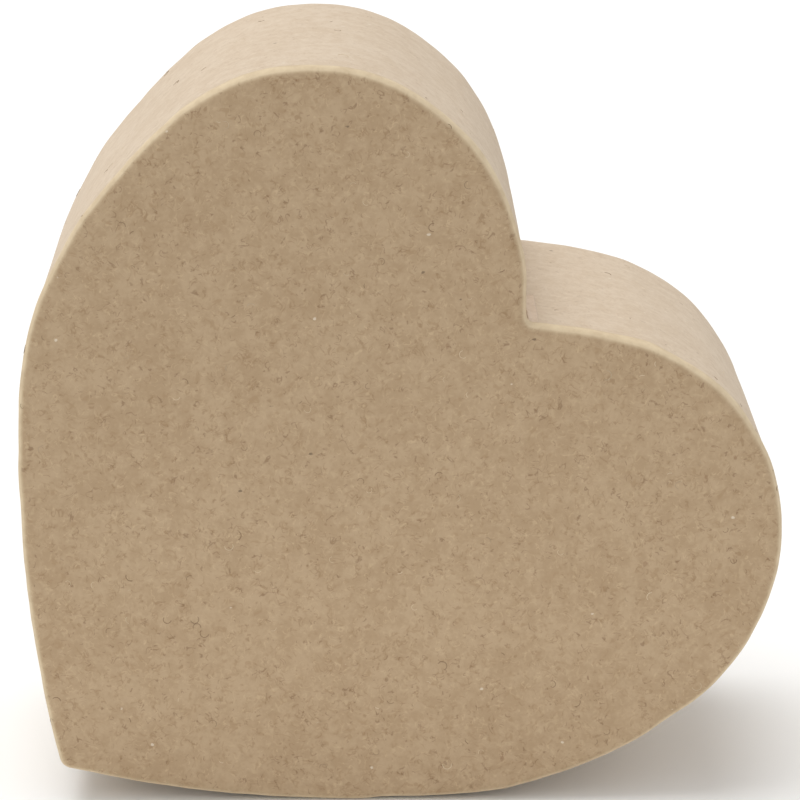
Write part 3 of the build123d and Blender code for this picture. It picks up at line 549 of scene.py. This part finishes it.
def side_strip():
    """The strip of side paper as a closed ring of quads with its map."""
    points = []
    for depth, drawn_in in STRIP_ROWS:
        middle = math.sin(math.pi * min(1.0, max(0.0, (depth - STRIP_LOW) / (STRIP_HIGH - STRIP_LOW)))) ** 0.5
        for i, (a, u) in enumerate(ring):
            soft = noise.noise(Vector((a / 11, u / 11, depth / 16))) * 0.10
            soft += noise.noise(Vector((a / 3.2, u / 3.2, depth / 9))) * 0.035
            inset = wave[i] + TUCK + drawn_in - min(0.12, soft * middle)
            points.append(to_world(ring[i] - outward[i] * inset, depth))
    faces = [
        (r * COUNT + i, r * COUNT + (i + 1) % COUNT, (r + 1) * COUNT + (i + 1) % COUNT, (r + 1) * COUNT + i)
        for r in range(len(STRIP_ROWS) - 1)
        for i in range(COUNT)
    ]
    heart = sum(points, Vector()) / len(points)
    piece = paper_object("side_paper", points, faces, lambda f: f.normal.dot(f.calc_center_median() - heart))
    laid = piece.data.uv_layers.new(name="paper")
    for face in piece.data.polygons:
        numbers = [piece.data.loops[k].vertex_index for k in face.loop_indices]
        ends = {n % COUNT for n in numbers} == {0, COUNT - 1}
        for k, n in zip(face.loop_indices, numbers):
            along = marks[n % COUNT] + (lengths[-1] if ends and n % COUNT == 0 else 0)
            laid.data[k].uv = (along * MM, (STRIP_ROWS[n // COUNT][0] - STRIP_ROWS[n // COUNT][1]) * MM)
    return piece


side_paper = side_strip()
side_paper.data.materials.append(side_kraft)
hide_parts("side_cover")
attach(side_paper, "case")
print("side paper", len(side_paper.data.polygons), "faces")

# %% [markdown]
# ## The tab in the cleft
# Paper can't stretch round a sharp inside corner, so the maker snips the lip at the cleft and covers the cut with
# a narrow strip, pointed at its end. It lies on the right lobe's side paper, in the corner, and runs back from
# under the front lip. It is the palest paper of the case.

# %% Cleft tab
TAB_LONG, TAB_WIDE, TAB_TIP = 15.5, 1.5, 2.2
TAB_FRONT = 46.4  # above the back plane, just under the front lip
TAB_ABOVE = 0.13  # over the side paper


def cleft_tab():
    """A thin pointed strip beside the cleft, a little above the side paper."""
    cleft_at = marks[int(np.linalg.norm(ring - (CLEFT + (0.0, 0.55)), axis=1).argmin())]
    points, columns, rows = [], 6, 16
    for row in range(rows):
        back = TAB_LONG * row / rows
        point = min(1.0, (TAB_LONG - back) / TAB_TIP)
        for column in range(columns + 1):
            s = cleft_at - 0.2 - TAB_WIDE * (1 - (1 - column / columns) * point)
            flat = np.array([np.interp(s, marks, ring[:, k]) for k in (0, 1)])
            normal = np.array([np.interp(s, marks, outward[:, k]) for k in (0, 1)])
            inset = np.interp(s, marks, wave) + TUCK - TAB_ABOVE - 0.05 * noise.noise(Vector((s, back / 3, 4.0)))
            points.append(to_world(flat - normal * inset, TAB_FRONT - back))
    wide = columns + 1
    faces = [
        (r * wide + c, r * wide + c + 1, (r + 1) * wide + c + 1, (r + 1) * wide + c)
        for r in range(rows - 1)
        for c in range(columns)
    ]
    heart = to_world(np.array((0.0, 50.0)), 24.0)
    return paper_object("cleft_tab", points, faces, lambda f: f.normal.dot(f.calc_center_median() - heart))


tab_kraft = kraft("kraft_tab", (0.70, 0.56, 0.43), (0.64, 0.50, 0.37), (0.76, 0.66, 0.54), 0.2, 0.2)
tab = cleft_tab()
tab.data.materials.append(tab_kraft)
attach(tab, "case")
print("tab", len(tab.data.polygons), "faces")

# %% [markdown]
# ## Loose fibres
# A few fibres never lay down in the pulp and curl on the paper's surface. They repeat hundreds of times, so
# Geometry Nodes place them: points are scattered over a sheet, and each gets one of three small curls, turned and
# scaled at random. The instances are made real and baked to a plain mesh, one for each sheet.


# %% Fibre tree
def fibre_tree():
    """Scatters small curled tubes over the mesh it is given."""
    tree = bpy.data.node_groups.new("loose_fibres", "GeometryNodeTree")
    face = tree.interface
    face.new_socket("Geometry", in_out="INPUT", socket_type="NodeSocketGeometry")
    sockets = {}
    for label, kind, value in (
        ("Fibres per area", "NodeSocketFloat", 20000.0),
        ("Curl radius", "NodeSocketFloat", 0.55 * MM),
        ("Fibre radius", "NodeSocketFloat", 0.04 * MM),
        ("Seed", "NodeSocketInt", 5),
        ("Finish", "NodeSocketMaterial", None),
    ):
        sockets[label] = face.new_socket(label, in_out="INPUT", socket_type=kind)
        if value is not None:
            sockets[label].default_value = value
    face.new_socket("Geometry", in_out="OUTPUT", socket_type="NodeSocketGeometry")

    def add(kind, settings=None, **links):
        made = tree.nodes.new(kind)
        for key, value in (settings or {}).items():
            setattr(made, key, value)
        for key, value in links.items():
            socket = made.inputs[key.replace("_", " ")]
            if isinstance(value, bpy.types.NodeSocket):
                tree.links.new(value, socket)
            else:
                socket.default_value = value
        return made

    source = add("NodeGroupInput").outputs
    scatter = add(
        "GeometryNodeDistributePointsOnFaces", Mesh=source["Geometry"], Density=source["Fibres per area"],
        Seed=source["Seed"],
    )
    hair = add("GeometryNodeCurvePrimitiveCircle", Resolution=4, Radius=source["Fibre radius"])
    choice = add("GeometryNodeGeometryToInstance")
    for sweep in (1.1, 2.2, 3.6):
        curl = add("GeometryNodeCurveArc", Resolution=8, Radius=source["Curl radius"], Sweep_Angle=sweep)
        tube = add(
            "GeometryNodeCurveToMesh", Curve=curl.outputs["Curve"], Profile_Curve=hair.outputs["Curve"],
            Fill_Caps=True,
        )
        tree.links.new(tube.outputs["Mesh"], choice.inputs["Geometry"])
    spin = add("FunctionNodeRandomValue", {"data_type": "FLOAT"}, Seed=source["Seed"])
    spin.inputs[3].default_value = 6.283  # a whole turn
    about = add("FunctionNodeAxisAngleToRotation", Axis=(0, 0, 1), Angle=spin.outputs[1])
    turned = add(
        "FunctionNodeRotateRotation", {"rotation_space": "LOCAL"}, Rotation=scatter.outputs["Rotation"],
        Rotate_By=about.outputs["Rotation"],
    )
    size = add("FunctionNodeRandomValue", {"data_type": "FLOAT"}, Seed=11)
    size.inputs[2].default_value, size.inputs[3].default_value = 0.45, 1.25
    placed = add(
        "GeometryNodeInstanceOnPoints", Points=scatter.outputs["Points"], Instance=choice.outputs["Instances"],
        Pick_Instance=True, Rotation=turned.outputs["Rotation"], Scale=size.outputs[1],
    )
    tone = add("FunctionNodeRandomValue", {"data_type": "FLOAT"}, Seed=23)
    marked = add(
        "GeometryNodeStoreNamedAttribute", {"domain": "INSTANCE", "data_type": "FLOAT"},
        Geometry=placed.outputs["Instances"], Name="tone", Value=tone.outputs[1],
    )
    real = add("GeometryNodeRealizeInstances", Geometry=marked.outputs["Geometry"])
    painted = add("GeometryNodeSetMaterial", Geometry=real.outputs["Geometry"], Material=source["Finish"])
    target = tree.nodes.new("NodeGroupOutput")
    tree.links.new(painted.outputs["Geometry"], target.inputs["Geometry"])
    return tree, sockets


fibres, fibre_sockets = fibre_tree()
print("fibre tree", len(fibres.nodes), "nodes")

# %% Scatter the fibres
hair_finish = Finish("loose_fibre", Roughness=0.85)
hair_tone = hair_finish.node("ShaderNodeAttribute", {"attribute_name": "tone"}, out="Fac")
hair_colour = hair_finish.mix(hair_finish.step(hair_tone, 0.35, 0.75), (0.24, 0.155, 0.085), (0.66, 0.54, 0.38))
hair_finish.feed(Base_Color=hair_colour)


def scatter_fibres(name, sheet, per_area, seed):
    """Bakes the fibres of one sheet to a plain mesh."""
    bed = bpy.data.objects.new(name, sheet.data.copy())
    bpy.context.scene.collection.objects.link(bed)
    tree = bed.modifiers.new("fibres", "NODES")
    tree.node_group = fibres
    tree[fibre_sockets["Fibres per area"].identifier] = per_area
    tree[fibre_sockets["Seed"].identifier] = seed
    tree[fibre_sockets["Finish"].identifier] = hair_finish.material
    baked = bpy.data.meshes.new_from_object(bed.evaluated_get(bpy.context.evaluated_depsgraph_get()))
    bed.modifiers.clear()
    bed.data = baked
    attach(bed, "case")
    print(name, len(baked.polygons), "faces")
    return bed


scatter_fibres("front_fibres", front_sheet, 14000.0, 3)
scatter_fibres("side_fibres", side_paper, 7000.0, 8)
scatter_fibres("back_fibres", back_sheet, 18000.0, 14)

# %% [markdown]
# ## Metals
# Real metal parts are never one even colour: they carry a haze of handling, the lines of the tool that cut them
# and, on castings, a fine pitted skin. One function makes such a metal from its colour, its haze and the direction
# of its lines. Turned parts get rings about their own axis instead of straight lines.


# %% Metal finishes
def metal(name, colour, rough, grain=(0.6, 6.0, 6.0), lines=0.10, pits=0.0, turned_on=None):
    """A bare or plated metal with haze, tool lines and perhaps pits."""
    made = Finish(name, Metallic=1.0)
    here = made.place()
    haze = made.cloud(here, 0.30, 3.0, 0.6, 0.4)
    if turned_on is None:
        tool = made.cloud(made.place(scale=grain), 1.0, 3.0, 0.6)
    else:
        low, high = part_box(turned_on)
        middle = (low + high) / 2 / MM
        centred = made.place(move=tuple(-v for v in middle))
        flat = made.node("ShaderNodeVectorMath", {"operation": "MULTIPLY"}, centred, (1, 0, 1))
        reach = made.node("ShaderNodeVectorMath", {"operation": "LENGTH"}, flat, out="Value")
        tool = made.cloud(made.node("ShaderNodeCombineXYZ", None, reach), 7.0, 2.0, 0.6)
    darker = tuple(c * 0.80 for c in colour)
    tint = made.mix(made.step(haze, 0.38, 0.66), darker, colour)
    height = tool * 0.4
    if pits:
        skin = made.cloud(here, 6.0, 2.0, 0.6)
        tint = made.mix(made.step(skin, 0.50, 0.72) * pits, tint, tuple(c * 0.6 for c in colour))
        height = height + skin * pits * 2
    rough = (haze - 0.5) * 0.16 + (tool - 0.5) * lines + rough
    return made.feed(Base_Color=tint, Roughness=rough, Normal=made.bump(height, 0.010, 0.35))


brass = metal("brass", (0.78, 0.57, 0.25), 0.26)
eyelet_brass = metal("eyelet_brass", (0.80, 0.60, 0.28), 0.22, turned_on="key_eyelet")
nickel = metal("nickel_plate", (0.66, 0.63, 0.58), 0.20)
hub_nickel = metal("hub_nickel", (0.64, 0.61, 0.56), 0.20, lines=0.22, turned_on="key_hub")
plated_steel = metal("zinc_plated_steel", (0.56, 0.57, 0.58), 0.30)
steel = metal("ground_steel", (0.46, 0.46, 0.47), 0.30, grain=(0.5, 9.0, 9.0), lines=0.22)
spring_steel = metal("spring_steel", (0.24, 0.27, 0.36), 0.26, lines=0.16)
cast_zinc = metal("cast_zinc", (0.48, 0.49, 0.50), 0.46, pits=0.35)
soft_lead = metal("lead", (0.20, 0.21, 0.23), 0.55, pits=0.45)
print("metals", [m.name for m in bpy.data.materials if m.name != "floor_white"])

# %% Finishes for the carried-over parts
SLOT_FINISHES = {
    "board": grey_board, "kraft": face_kraft, "brass": brass, "plated_steel": plated_steel, "nickel": nickel,
    "steel": steel, "spring_steel": spring_steel, "zinc": cast_zinc, "lead": soft_lead,
}
OWN_FINISHES = {"key_eyelet": eyelet_brass, "key_hub": hub_nickel}
for row in frame["record"]["subparts"]:
    part = frame["nodes"][row["node"]]
    for place in part.material_slots:
        place.material = OWN_FINISHES.get(row["node"], SLOT_FINISHES[row["material_slot"]])
